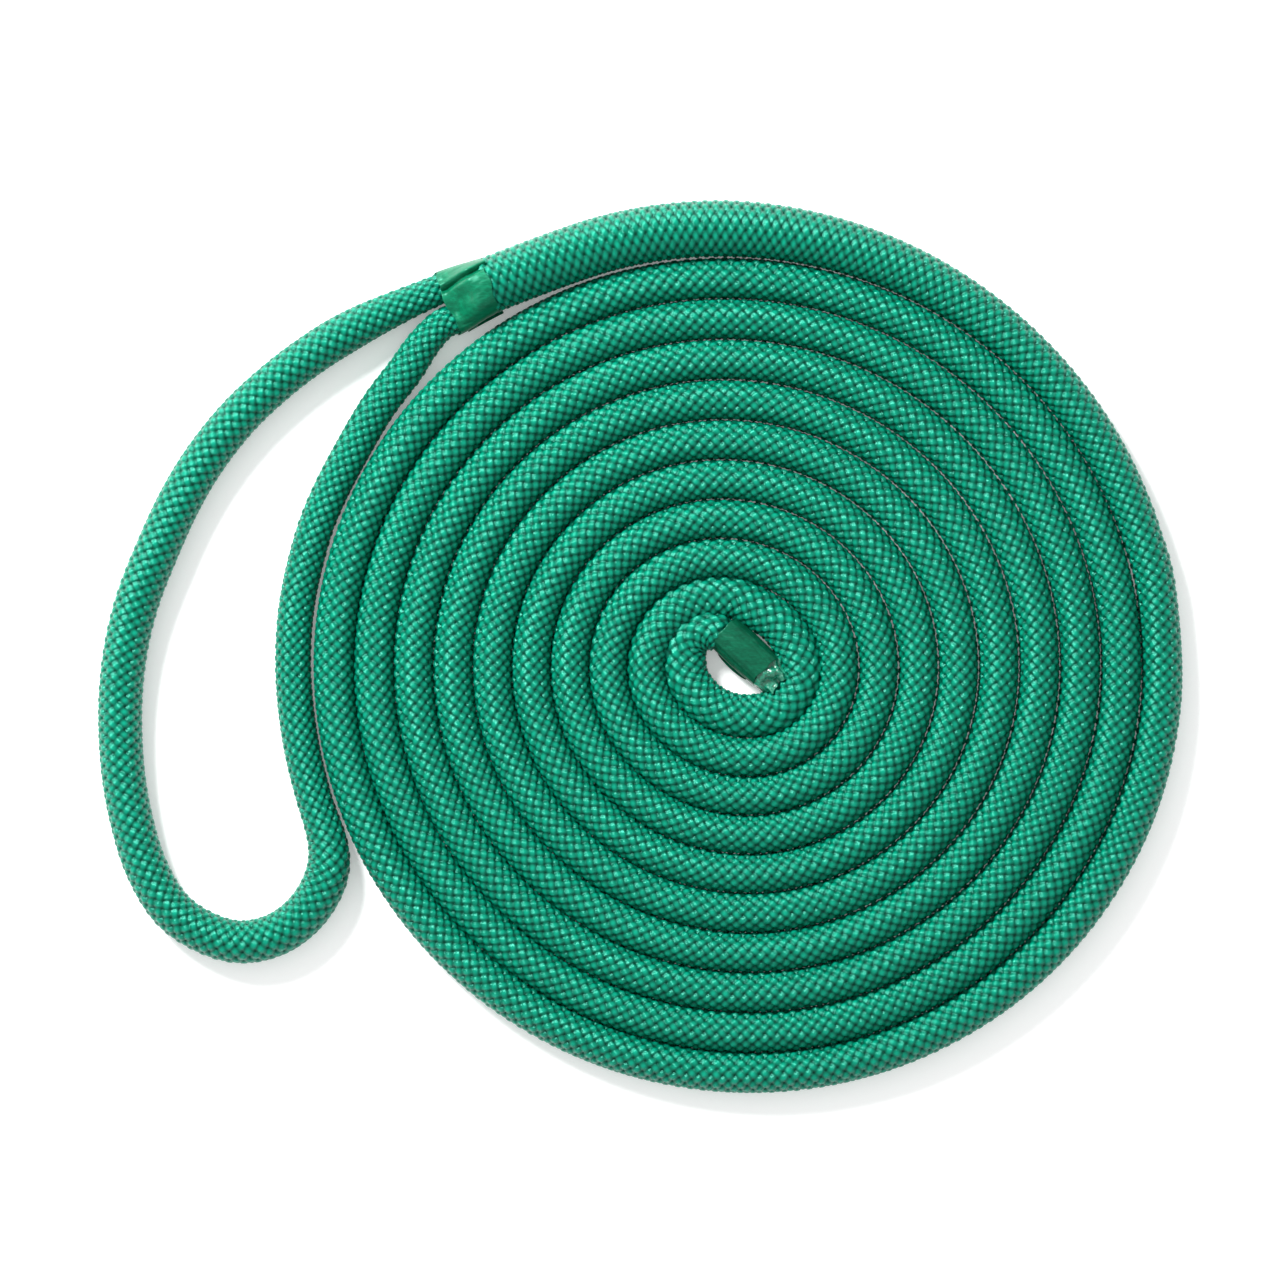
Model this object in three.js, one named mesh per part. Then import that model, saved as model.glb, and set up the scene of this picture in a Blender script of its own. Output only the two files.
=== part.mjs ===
// Coiled dock line: a double-braid rope with a spliced eye, laid down as a flat spiral one layer deep.
// Units are millimetres and +Z is up. The rope lies on the plane z = 0, and the origin is in the middle
// of its footprint. The long pieces are split where the rope changes: eye, splice, coil and bitter end.
import * as THREE from 'three';

// The rope
const ROPE_RADIUS = 7.8;
const COVER_WALL = 2.0;
const FIT_GAP = 0.3;
const SECTION_SIDES = 12;

// The coil: a spiral that runs clockwise and inwards from the throat of the eye
const COIL_CENTRE = new THREE.Vector2(38.6, -6.8);
const CENTRE_DRIFT = new THREE.Vector2(-0.25, -0.11);
const THROAT_ANGLE = THREE.MathUtils.degToRad(120);
const FIRST_RADIUS = 169.4;
const TURN_PITCH = 15.95;
const PITCH_LOSS = 0.05;
const OVAL = 1.8;
const OVAL_ANGLE = THREE.MathUtils.degToRad(160);
const COIL_OUTLINE_STEPS = 72;
const COIL_EDGE_ROUND = 4;

// The splice: the thicker start of the outermost turn, where the cover's tail is buried in the core
const SPLICE_RADIUS = 11.4;
const SPLICE_START = -8.2 / 360;
const SPLICE_END = 110 / 360;
const SPLICE_STEPS = 20;
const THROAT_LIFT = 6;
const THROAT_LIFT_TURNS = 16 / 360;
const CORE_BORE = 0.8;
const TAIL_SHARE = 0.75;

// The throat band, round the start of the splice
const BAND_LENGTH = 17.5;
const BAND_WALL = 0.8;
const BAND_STEPS = 3;

// The eye: the middle of its rope, from the throat out along the free leg and back along the coil
const EYE_ROUTE = [
  [-75.9, 140.8], [-82.4, 138.0], [-93.4, 133.2], [-109.0, 125.6], [-124.6, 116.4],
  [-140.2, 104.9], [-155.8, 90.5], [-169.1, 73.9], [-179.2, 57.1], [-188.0, 38.0],
  [-195.6, 18.5], [-200.3, -1.0], [-202.4, -22.4],
  [-201.6, -45.8], [-198.3, -66.1], [-192.5, -85.2], [-183.1, -101.2], [-170.2, -110.6],
  [-155.8, -114.7], [-141.4, -111.7], [-129.7, -102.8], [-122.3, -89.9], [-121.5, -77.0],
  [-127.3, -57.7], [-131.6, -40.0], [-134.4, -20.5], [-135.1, -1.0], [-133.2, 19.7], [-127.6, 43.1],
  [-121.4, 59.1], [-112.3, 76.6], [-102.0, 94.0], [-91.5, 107.8], [-84.3, 118.4],
  [-77.2, 125.9], [-70.8, 128.6],
];
const EYE_STEPS = 44;
// Share of the eye's length, and the rope's radius there
const EYE_RADII = [
  [0, 6.3], [0.08, 8.4], [0.3, 9.0], [0.5, 8.7], [0.61, 8.9], [0.66, 7.4], [0.95, 7.4], [1, 6.3],
];

// The bitter end: a straight stretch in the middle of the coil
const END_START = new THREE.Vector2(32.2, 5.3);
const END_TIP = new THREE.Vector2(54.0, -15.0);
const END_WHIPPING_WALL = 0.7;
const TIP_LENGTH = 5.6;
const TIP_END_RADIUS = 5.2;
const TIP_TAPER = 0.4;
const TIP_EDGE_LENGTH = 0.6;
const TIP_EDGE_WIDTH = 1.2;

// The opening in the middle of the coil, measured along and across the bitter end
const HOLE_INNER_SIDE = 8.2;
const HOLE_OPEN_SIDE = -12.3;
const HOLE_END_GAP = 1;
const HOLE_END_BEND = 8;
const HOLE_START_BEND = 2;

const line = new THREE.Group();

function material(color, roughness) {
  return new THREE.MeshStandardMaterial({ color, roughness, metalness: 0 });
}

const coverMaterial = material(0x0c8a6c, 0.75);
const coreMaterial = material(0xe9e7df, 0.85);
const bandMaterial = material(0x0a8a66, 0.45);
const tipMaterial = material(0x4fa88f, 0.25);

function addMesh(name, geometry, meshMaterial) {
  const mesh = new THREE.Mesh(geometry, meshMaterial);
  mesh.name = name;
  line.add(mesh);
  return mesh;
}

// A point on the spiral. The lane counts turns inwards from the throat, and half a lane is half a rope.
function coilPoint(turns, lane, outwards = 0) {
  const angle = THROAT_ANGLE - turns * 2 * Math.PI;
  const oval = OVAL * Math.cos(2 * (angle - OVAL_ANGLE));
  const radius = FIRST_RADIUS - TURN_PITCH * lane + PITCH_LOSS * lane * lane + oval + outwards;
  return new THREE.Vector2(Math.cos(angle), Math.sin(angle))
    .multiplyScalar(radius)
    .add(COIL_CENTRE)
    .addScaledVector(CENTRE_DRIFT, lane);
}

// A radius that changes smoothly between listed [share, radius] pairs
function radiusAt(pairs, share) {
  const next = pairs.findIndex(([at]) => at >= share);
  if (next <= 0) return pairs[0][1];
  const [fromShare, fromRadius] = pairs[next - 1];
  const [toShare, toRadius] = pairs[next];
  const mix = THREE.MathUtils.smoothstep(share, fromShare, toShare);
  return THREE.MathUtils.lerp(fromRadius, toRadius, mix);
}

// Bends a solid of revolution about Y along a route in the XY plane. The route's height at each share of
// its length is given by heightAt, so that a rope of changing thickness still lies on the plane z = 0.
function layAlong(geometry, route, heightAt) {
  const length = route.getLength();
  const positions = geometry.attributes.position;
  const vertex = new THREE.Vector3();
  for (let i = 0; i < positions.count; i += 1) {
    vertex.fromBufferAttribute(positions, i);
    const share = THREE.MathUtils.clamp(vertex.y / length, 0, 1);
    const centre = route.getPointAt(share);
    const along = route.getTangentAt(share);
    const across = new THREE.Vector2(along.y, -along.x);
    positions.setXYZ(
      i,
      centre.x + across.x * vertex.x,
      centre.y + across.y * vertex.x,
      heightAt(share) + vertex.z,
    );
  }
  return geometry;
}

// The profile of a tube or a rod of changing radius, from one share of the route's length to another
function tubeProfile(length, steps, from, to, outerAt, boreAt) {
  const outer = [];
  const bore = [];
  for (let i = 0; i <= steps; i += 1) {
    const share = THREE.MathUtils.lerp(from, to, i / steps);
    outer.push(new THREE.Vector2(outerAt(share), share * length));
    if (boreAt) bore.push(new THREE.Vector2(boreAt(share), share * length));
  }
  if (!boreAt) {
    return [new THREE.Vector2(0, outer[0].y), ...outer, new THREE.Vector2(0, outer[steps].y)];
  }
  return [...outer, ...bore.reverse(), outer[0].clone()];
}

function revolve(profile) {
  return new THREE.LatheGeometry(profile, SECTION_SIDES);
}

function routeThrough(points) {
  const route = new THREE.SplineCurve(points);
  route.arcLengthDivisions = 800;
  return route;
}

// The eye

const eyeRoute = routeThrough(EYE_ROUTE.map(([x, y]) => new THREE.Vector2(x, y)));

function eyeRadius(share) {
  return radiusAt(EYE_RADII, share);
}

function addEyePiece(name, pieceMaterial, inset, wall) {
  const profile = tubeProfile(
    eyeRoute.getLength(),
    EYE_STEPS,
    0,
    1,
    (share) => eyeRadius(share) - inset,
    wall ? (share) => eyeRadius(share) - inset - wall : null,
  );
  return addMesh(name, layAlong(revolve(profile), eyeRoute, eyeRadius), pieceMaterial);
}

addEyePiece('eye_cover', coverMaterial, 0, COVER_WALL);
addEyePiece('eye_core', coreMaterial, COVER_WALL + FIT_GAP, 0);

// The splice

function spliceRadius(turns) {
  const taper = THREE.MathUtils.smoothstep(turns, 0, SPLICE_END);
  return THREE.MathUtils.lerp(SPLICE_RADIUS, ROPE_RADIUS - FIT_GAP, taper);
}

function splicePoint(turns) {
  const unsettled = Math.max(0, 1 - (turns - SPLICE_START) / THROAT_LIFT_TURNS);
  const lift = THROAT_LIFT * unsettled * unsettled;
  return coilPoint(turns, turns + 0.5, spliceRadius(turns) + FIT_GAP + lift);
}

function turnsAt(share) {
  return THREE.MathUtils.lerp(SPLICE_START, SPLICE_END, share);
}

const splicePoints = [];
for (let i = 0; i <= SPLICE_STEPS; i += 1) splicePoints.push(splicePoint(turnsAt(i / SPLICE_STEPS)));
const spliceRoute = routeThrough(splicePoints);
const spliceLength = spliceRoute.getLength();
const bandShare = BAND_LENGTH / spliceLength;
const lastShare = 1 - (2 * FIT_GAP) / spliceLength;

function spliceRadiusAt(share) {
  return spliceRadius(turnsAt(share));
}

// The rope stands on the band's wall at the throat, and comes down to the plane beyond it
function spliceHeightAt(share) {
  const onBand = 1 - THREE.MathUtils.smoothstep(share, bandShare, 3 * bandShare);
  return spliceRadiusAt(share) + (BAND_WALL + FIT_GAP) * onBand;
}

function spliceCoreRadius(share) {
  return spliceRadiusAt(share) - COVER_WALL - FIT_GAP;
}

function tailRadius(share) {
  const full = SPLICE_RADIUS - 2 * (COVER_WALL + FIT_GAP);
  return THREE.MathUtils.lerp(full, CORE_BORE, THREE.MathUtils.smoothstep(share, 0, TAIL_SHARE));
}

function addSplicePiece(name, pieceMaterial, to, outerAt, boreAt) {
  const profile = tubeProfile(spliceLength, SPLICE_STEPS, 0, to, outerAt, boreAt);
  return addMesh(name, layAlong(revolve(profile), spliceRoute, spliceHeightAt), pieceMaterial);
}

addSplicePiece(
  'splice_cover',
  coverMaterial,
  lastShare,
  spliceRadiusAt,
  (share) => spliceRadiusAt(share) - COVER_WALL,
);
addSplicePiece(
  'splice_core',
  coreMaterial,
  lastShare,
  spliceCoreRadius,
  (share) => tailRadius(share) + FIT_GAP,
);
addSplicePiece('buried_cover_tail', coverMaterial, TAIL_SHARE, tailRadius, null);

// The throat band, a sleeve round the start of the splice

const bandProfile = tubeProfile(
  spliceLength,
  BAND_STEPS,
  0,
  bandShare,
  (share) => spliceRadiusAt(share) + FIT_GAP + BAND_WALL,
  (share) => spliceRadiusAt(share) + FIT_GAP,
);
addMesh('throat_band', layAlong(revolve(bandProfile), spliceRoute, spliceHeightAt), bandMaterial);

// The coil: the outer shape of all the turns from the end of the splice inwards

const endAlong = END_TIP.clone().sub(END_START).normalize();
const endAcross = new THREE.Vector2(-endAlong.y, endAlong.x);
const endLength = END_TIP.distanceTo(END_START);

function endPoint(along, across) {
  return END_START.clone().addScaledVector(endAlong, along).addScaledVector(endAcross, across);
}

function coilShape() {
  const outline = [];
  for (let i = 0; i <= COIL_OUTLINE_STEPS; i += 1) {
    const turns = SPLICE_END + i / COIL_OUTLINE_STEPS;
    outline.push(coilPoint(turns, turns - 0.5));
  }
  const shape = new THREE.Shape(outline.reverse());
  const farEnd = endLength + HOLE_END_GAP;
  const hole = new THREE.Path();
  const corner = (along, across) => endPoint(along, across).toArray();
  hole.moveTo(...corner(-FIT_GAP, HOLE_INNER_SIDE));
  hole.lineTo(...corner(farEnd - HOLE_END_BEND, HOLE_INNER_SIDE));
  hole.quadraticCurveTo(...corner(farEnd, HOLE_INNER_SIDE), ...corner(farEnd, 0));
  hole.quadraticCurveTo(...corner(farEnd, HOLE_OPEN_SIDE), ...corner(farEnd / 2, HOLE_OPEN_SIDE));
  hole.quadraticCurveTo(
    ...corner(HOLE_START_BEND, HOLE_OPEN_SIDE),
    ...corner(-FIT_GAP, -ROPE_RADIUS - FIT_GAP),
  );
  hole.closePath();
  shape.holes.push(hole);
  return shape;
}

const coilGeometry = new THREE.ExtrudeGeometry(coilShape(), {
  depth: 2 * (ROPE_RADIUS - COIL_EDGE_ROUND),
  bevelThickness: COIL_EDGE_ROUND,
  bevelSize: COIL_EDGE_ROUND,
  bevelOffset: -COIL_EDGE_ROUND,
  bevelSegments: 2,
  curveSegments: 5,
});
addMesh('coil', coilGeometry, coverMaterial).position.z = COIL_EDGE_ROUND;

// The bitter end

function addEndPiece(name, pieceMaterial, profile) {
  const mesh = addMesh(name, revolve(profile), pieceMaterial);
  mesh.position.set(END_START.x, END_START.y, ROPE_RADIUS);
  mesh.quaternion.setFromUnitVectors(
    new THREE.Vector3(0, 1, 0),
    new THREE.Vector3(endAlong.x, endAlong.y, 0),
  );
  return mesh;
}

const endCoverRadius = ROPE_RADIUS - END_WHIPPING_WALL - FIT_GAP;
const endCoreRadius = endCoverRadius - COVER_WALL - FIT_GAP;
const whippingLength = endLength - TIP_LENGTH - FIT_GAP;

function tubeOf(outer, inner, length) {
  return tubeProfile(length, 1, 0, 1, () => outer, inner ? () => inner : null);
}

addEndPiece(
  'end_cover',
  coverMaterial,
  tubeOf(endCoverRadius, endCoverRadius - COVER_WALL, whippingLength),
);
addEndPiece('end_core', coreMaterial, tubeOf(endCoreRadius, 0, whippingLength));
addEndPiece(
  'end_whipping',
  bandMaterial,
  tubeOf(ROPE_RADIUS, ROPE_RADIUS - END_WHIPPING_WALL, whippingLength),
);
addEndPiece('melted_tip', tipMaterial, [
  new THREE.Vector2(0, endLength - TIP_LENGTH),
  new THREE.Vector2(endCoverRadius, endLength - TIP_LENGTH),
  new THREE.Vector2(endCoverRadius - TIP_TAPER, endLength - TIP_LENGTH / 2),
  new THREE.Vector2(TIP_END_RADIUS, endLength - TIP_EDGE_LENGTH),
  new THREE.Vector2(TIP_END_RADIUS - TIP_EDGE_WIDTH, endLength),
  new THREE.Vector2(0, endLength),
]);

export default line;
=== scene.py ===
"""Looks of a coiled dock line: double-braid rope with a spliced eye, a taped throat and a melted end.

Units are metres, +Z is up, and the rope lies on the plane z = 0. The rope's cover is a real relief:
a plain braid of twenty strands, each a pair of yarns, which pass over and under each other.
"""
import math

import bpy
import numpy as np
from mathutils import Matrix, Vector, noise


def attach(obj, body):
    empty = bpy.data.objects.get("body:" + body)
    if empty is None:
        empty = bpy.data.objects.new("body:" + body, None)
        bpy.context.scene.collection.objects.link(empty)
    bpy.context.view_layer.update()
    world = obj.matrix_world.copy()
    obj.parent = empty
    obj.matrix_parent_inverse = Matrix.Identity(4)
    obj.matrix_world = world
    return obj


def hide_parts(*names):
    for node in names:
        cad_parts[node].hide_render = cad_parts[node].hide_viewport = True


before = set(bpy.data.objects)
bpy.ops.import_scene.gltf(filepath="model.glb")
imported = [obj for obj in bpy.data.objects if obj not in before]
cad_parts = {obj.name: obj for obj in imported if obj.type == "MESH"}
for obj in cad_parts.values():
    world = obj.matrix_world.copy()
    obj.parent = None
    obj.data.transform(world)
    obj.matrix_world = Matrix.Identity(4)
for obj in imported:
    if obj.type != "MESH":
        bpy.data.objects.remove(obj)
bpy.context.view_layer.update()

BODY = "root"

# The rope
ROPE_RADIUS = 0.0078
FIT_GAP = 0.0003

# The coil, a spiral that runs clockwise and inwards from the throat
COIL_CENTRE = np.array([0.0386, -0.0068])
CENTRE_DRIFT = np.array([-0.00025, -0.00011])
THROAT_ANGLE = math.radians(120)
FIRST_RADIUS = 0.1694
TURN_PITCH = 0.01595
PITCH_LOSS = 0.00005
OVAL = 0.0018
OVAL_ANGLE = math.radians(160)
POINTS_A_TURN = 24
LAST_COILED_TURN = 9.1

# The splice, from the throat to where the rope is its own size again
SPLICE_RADIUS = 0.0114
SPLICE_START = -8.2 / 360
SPLICE_POINTS_A_TURN = 3 * POINTS_A_TURN
SPLICE_END = 110 / 360
THROAT_LIFT = 0.006
THROAT_LIFT_TURNS = 16 / 360
BAND_LENGTH = 0.0175
BAND_WALL = 0.0008
CROTCH_RADIUS = 0.0030
UNDER_BAND_RADIUS = 0.0058
CROTCH_SHARE = 0.3
SWELL_SHARES = (0.15, 0.9)
PICK_SHARES = (0.5, 1.1)
LOWERED_AFTER = 3
UNDER_SLEEVE_RADIUS = 0.0064
SLEEVE_BLEND = 0.002

# The middle of the eye's rope, from the throat out along the free leg and back along the coil
EYE_ROUTE = [
    (-0.0759, 0.1408), (-0.0824, 0.1380), (-0.0934, 0.1332), (-0.1090, 0.1256), (-0.1246, 0.1164),
    (-0.1402, 0.1049), (-0.1558, 0.0905), (-0.1691, 0.0739), (-0.1792, 0.0571), (-0.1880, 0.0380),
    (-0.1956, 0.0185), (-0.2003, -0.0010), (-0.2024, -0.0224), (-0.2016, -0.0458), (-0.1983, -0.0661),
    (-0.1925, -0.0852), (-0.1831, -0.1012), (-0.1702, -0.1106), (-0.1558, -0.1147), (-0.1414, -0.1117),
    (-0.1297, -0.1028), (-0.1223, -0.0899), (-0.1215, -0.0770), (-0.1273, -0.0577), (-0.1316, -0.0400),
    (-0.1344, -0.0205), (-0.1351, -0.0010), (-0.1332, 0.0197), (-0.1276, 0.0431), (-0.1214, 0.0591),
    (-0.1123, 0.0766), (-0.1020, 0.0940), (-0.0915, 0.1078), (-0.0843, 0.1184), (-0.0772, 0.1259),
    (-0.0708, 0.1286),
]
EYE_RADII = [
    (0, 0.0063), (0.08, 0.0084), (0.3, 0.0090), (0.5, 0.0087), (0.61, 0.0089), (0.66, 0.0074),
    (0.95, 0.0074), (1, 0.0063),
]
EYE_TUCK = 0.007

# The innermost stretch, where the rope turns back into the middle of the coil
LAST_TURN = [
    (0.0490, 0.0134), (0.0559, 0.0078), (0.0618, -0.0020), (0.0626, -0.0134), (0.0537, -0.0244),
    (0.0393, -0.0267), (0.0272, -0.0223), (0.0192, -0.0133), (0.0172, -0.0046), (0.0179, 0.0012),
    (0.0212, 0.0051), (0.0262, 0.0068),
]
TIGHT_BEND = 9
END_START = np.array([0.0322, 0.0053])
END_TIP = np.array([0.0540, -0.0150])
TIP_LENGTH = 0.0080
TIP_END_RADIUS = 0.0052
SHARES_UNDER_SLEEVE = (0, 0.2, 0.4, 0.6, 0.8)

# The braid: ten strands each way, which make twenty columns of floats round the rope
STRANDS_EACH_WAY = 10
STEP = 2 * math.pi / STRANDS_EACH_WAY
LATTICE = 6
COIL_PICK = 0.0047
EYE_PICK = 0.0045
SPLICE_PICK = 0.0039
CORE_PICK = 0.0042
RELIEF = 0.0016
STRAND_RISE = 0.38
STRAND_BULGE = 0.62
YARN_SPLIT = 0.12
YARN_SPLIT_WIDTH = 0.1
FILAMENTS_A_STRAND = 14

# How the turns are pressed together: each is a little wider than its share, most of all the innermost
TURN_SQUEEZE = 0.0004
SPLICE_BLEND = 0.1
LAST_TURN_LENGTH = 0.16
LAST_TURN_BLEND = 0.04
LAST_TURN_WIDER = 0.13
BEND_WIDER = 0.05
BEND_SPREAD = 0.014

# The twist of each rope, as turns a metre and the angle where it starts, and the way it wanders: an
# angle, the length it takes, and how many times the starting angle shifts it
EYE_TWIST = (0.1, 0.3)
LINE_TWIST = (0.12, 1.1)
TWIST_WANDER = [(0.5, 0.9, 1), (0.25, 0.37, 2)]

# Flat layout of the tubes, for baked textures: the map's name, and the share of each row that is filled
FLAT_LAYER = "OFBake"
ROW_FILL = 0.97

# How far the cover's tone varies from float to float, patch to patch and filament to filament: (span, low)
FLOAT_TONE = (0.20, 0.90)
PATCH_TONE = (0.24, 0.88)
FILAMENT_TONE = (0.16, 0.92)
FILAMENT_GRAIN = 900.0
FILAMENT_DRIFT = 5.0
PATCH_GRAIN = 60.0

CAMERA_HEIGHT = 1.7
VIEW_WIDTH = 0.4992
VIEW_CENTRE = (0.0002, 0.0029)
KEY_LIGHT = (-0.8, 1.0, 1.05)
KEY_SIZE = 0.55
KEY_POWER = 62
SKY_STRENGTH = 0.85
FLOOR_SIZE = 6.0
FLOOR_TONE = 0.93
FLOOR_GLOW = 0.22


# Camera


def add_camera():
    data = bpy.data.cameras.new("camera")
    data.lens = data.sensor_width * (CAMERA_HEIGHT - ROPE_RADIUS) / VIEW_WIDTH
    camera = bpy.data.objects.new("camera", data)
    camera.location = (*VIEW_CENTRE, CAMERA_HEIGHT)
    bpy.context.collection.objects.link(camera)
    bpy.context.scene.camera = camera


add_camera()


# Routes


def smoothstep(x, low, high):
    mix = np.clip((np.asarray(x, float) - low) / (high - low), 0, 1)
    return mix * mix * (3 - 2 * mix)


def lerp(a, b, mix):
    return a + (b - a) * mix


def gaussian(x, centre, width):
    return np.exp(-(((x - centre) / width) ** 2))


def coil_point(turns, lane, outwards=0.0):
    """A point on the spiral. The lane counts turns inwards from the throat."""
    angle = THROAT_ANGLE - turns * 2 * math.pi
    radius = FIRST_RADIUS - TURN_PITCH * lane + PITCH_LOSS * lane * lane + outwards
    radius += OVAL * math.cos(2 * (angle - OVAL_ANGLE))
    return radius * np.array([math.cos(angle), math.sin(angle)]) + COIL_CENTRE + CENTRE_DRIFT * lane


def splice_radius(turns):
    return lerp(SPLICE_RADIUS, ROPE_RADIUS - FIT_GAP, smoothstep(turns, 0, SPLICE_END))


def splice_point(turns):
    unsettled = max(0.0, 1 - (turns - SPLICE_START) / THROAT_LIFT_TURNS)
    outwards = float(splice_radius(turns)) + FIT_GAP + THROAT_LIFT * unsettled**2
    return coil_point(turns, turns + 0.5, outwards)


def smooth_curve(points, steps=24):
    """A Catmull-Rom curve through the points, as a dense polyline."""
    p = np.asarray(points, float)
    p = np.vstack([p[:1], p, p[-1:]])
    t = (np.arange(steps) / steps)[:, None]
    pieces = []
    for before, start, end, after in zip(p[:-3], p[1:-2], p[2:-1], p[3:]):
        v0, v1 = (end - before) / 2, (after - start) / 2
        pieces.append(
            (2 * start - 2 * end + v0 + v1) * t**3
            + (-3 * start + 3 * end - 2 * v0 - v1) * t**2
            + v0 * t
            + start
        )
    return np.vstack([*pieces, p[-1:]])


class Route:
    """A line on the floor plan, measured along its length."""

    def __init__(self, points, spacing=0.0005):
        p = smooth_curve(points)
        along = np.concatenate([[0], np.cumsum(np.linalg.norm(np.diff(p, axis=0), axis=1))])
        self.length = along[-1]
        self.s = np.linspace(0, self.length, int(self.length / spacing) + 1)
        self.xy = np.column_stack([np.interp(self.s, along, p[:, i]) for i in (0, 1)])
        tangent = np.gradient(self.xy, self.s, axis=0)
        self.tangent = tangent / np.linalg.norm(tangent, axis=1)[:, None]

    def at(self, s):
        """Points and unit tangents at lengths s."""
        xy = np.column_stack([np.interp(s, self.s, self.xy[:, i]) for i in (0, 1)])
        tangent = np.column_stack([np.interp(s, self.s, self.tangent[:, i]) for i in (0, 1)])
        return xy, tangent / np.linalg.norm(tangent, axis=1)[:, None]

    def nearest(self, point):
        """The length at which the route passes closest to a point."""
        return self.s[np.argmin(np.linalg.norm(self.xy - np.asarray(point), axis=1))]


def eye_points():
    """The eye's route, with both ends tucked a little way into the throat."""
    throat = splice_direction() * EYE_TUCK
    return [np.array(EYE_ROUTE[0]) + throat, *EYE_ROUTE, np.array(EYE_ROUTE[-1]) + throat]


def splice_direction():
    step = splice_point(SPLICE_START + 0.002) - splice_point(SPLICE_START)
    return step / np.linalg.norm(step)


def standing_points():
    """The splice, the coil's turns and the innermost stretch, from the throat to the taped end."""
    step = 1 / POINTS_A_TURN
    short_step = 1 / SPLICE_POINTS_A_TURN
    splice = [splice_point(t) for t in np.arange(SPLICE_START, SPLICE_END - step / 4, short_step)]
    turns = [coil_point(t, t) for t in np.arange(SPLICE_END, LAST_COILED_TURN, step)]
    end = [lerp(END_START, END_TIP, share) for share in SHARES_UNDER_SLEEVE]
    return [*splice, *turns, *LAST_TURN, *end]


eye_route = Route(eye_points())
standing_route = Route(standing_points())


# The braided cover


def braid_relief(a, b):
    """Height of the cover, from 0 in the deepest gap to 1 on a crown, and whether the first set is on top.

    a and b count strands of the two sets. A strand is rounded, split in the middle into two yarns, and
    rises and dips as it passes over and under. It bulges more than it rises."""

    def section(offset):
        split = YARN_SPLIT * np.exp(-((offset / YARN_SPLIT_WIDTH) ** 2))
        return STRAND_BULGE * np.cos(np.pi * offset) - split

    first = STRAND_RISE * np.cos(np.pi * (np.round(a) + b)) + section(a - np.round(a))
    second = -STRAND_RISE * np.cos(np.pi * (a + np.round(b))) + section(b - np.round(b))
    return np.clip(np.maximum(first, second), 0, 1), first > second


def new_object(name, vertices, faces, material, smooth=True):
    mesh = bpy.data.meshes.new(name)
    mesh.vertices.add(len(vertices))
    mesh.vertices.foreach_set("co", np.asarray(vertices, np.float32).ravel())
    sides = faces.shape[1]
    mesh.loops.add(faces.size)
    mesh.loops.foreach_set("vertex_index", faces.astype(np.int32).ravel())
    mesh.polygons.add(len(faces))
    mesh.polygons.foreach_set("loop_start", np.arange(0, faces.size, sides, dtype=np.int32))
    mesh.polygons.foreach_set("use_smooth", np.full(len(faces), smooth))
    mesh.materials.append(material)
    mesh.update(calc_edges=True)
    obj = bpy.data.objects.new(name, mesh)
    bpy.context.collection.objects.link(obj)
    return obj


def braided_rope(name, route, radius_at, pick_at, lift_at, widen_at, twist_at, material):
    """A tube of real braid relief along a route. The rope rests on the floor, unless lift_at raises it.

    Its vertices stand on the braid's own lattice, so each yarn's ridge is a line of edges."""
    advance = np.concatenate([[0], np.cumsum(np.diff(route.s) * STEP / pick_at(route.s[:-1]))])
    rings = int(advance[-1] / STEP * LATTICE)
    around = STRANDS_EACH_WAY * LATTICE
    k = np.arange(rings + 1)[:, None]
    j = np.arange(around)[None, :]
    s = np.interp(k[:, 0] * STEP / LATTICE, advance, route.s)
    xy, tangent = route.at(s)

    a = (j - k) / LATTICE
    b = (j + k) / LATTICE
    height, _ = braid_relief(a, b)
    depth = RELIEF * (1 - height)
    radius = radius_at(s)[:, None]
    wide = widen_at(s)[:, None]
    theta = 2 * np.pi * j / around + twist_at(s)[:, None]
    sideways = (radius * wide - depth) * np.cos(theta)
    upwards = (radius / wide - depth) * np.sin(theta)
    across = np.column_stack([tangent[:, 1], -tangent[:, 0]])
    vertices = np.empty((rings + 1, around, 3))
    vertices[:, :, :2] = xy[:, None, :] + across[:, None, :] * sideways[:, :, None]
    vertices[:, :, 2] = radius / wide + lift_at(s)[:, None] + upwards

    k = k[:-1]
    here, there = k * around + j, k * around + (j + 1) % around
    ahead, ahead_there = here + around, there + around
    _, first_on_top = braid_relief((j - k) / LATTICE + 1e-6, (j + k + 1) / LATTICE)
    pick = first_on_top[:, :, None]
    faces = split_quads(pick, here, there, ahead, ahead_there).reshape(-1, 3)
    jk = np.stack([np.broadcast_to(j, here.shape), np.broadcast_to(k, here.shape)], 2).astype(float)
    at = split_quads(pick[..., None], jk, jk + (1, 0), jk + (0, 1), jk + (1, 1)).reshape(-1, 2)
    weave = np.column_stack([at[:, 0] - at[:, 1], at[:, 0] + at[:, 1]]) / LATTICE
    base_ring = np.tile(np.repeat(np.broadcast_to(k, here.shape).ravel(), 3), 2)
    girth = 2 * np.pi * float(np.mean(radius_at(s)))
    rows = max(1, round(math.sqrt(route.length / girth)))
    unrolled = rows_of_tube(at, base_ring, rings, around, rows)

    vertices, faces = with_end_caps(vertices, faces)
    obj = new_object(name, vertices, faces, material)
    for layer, uv in (("weave", weave), ("weave_crossed", weave[:, ::-1]), (FLAT_LAYER, unrolled)):
        uv = np.concatenate([uv, np.zeros((6 * around, 2))]).astype(np.float32)
        obj.data.uv_layers.new(name=layer).data.foreach_set("uv", uv.ravel())
    path = np.column_stack([xy, radius_at(s) / widen_at(s) + lift_at(s)])
    return obj, path


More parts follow.
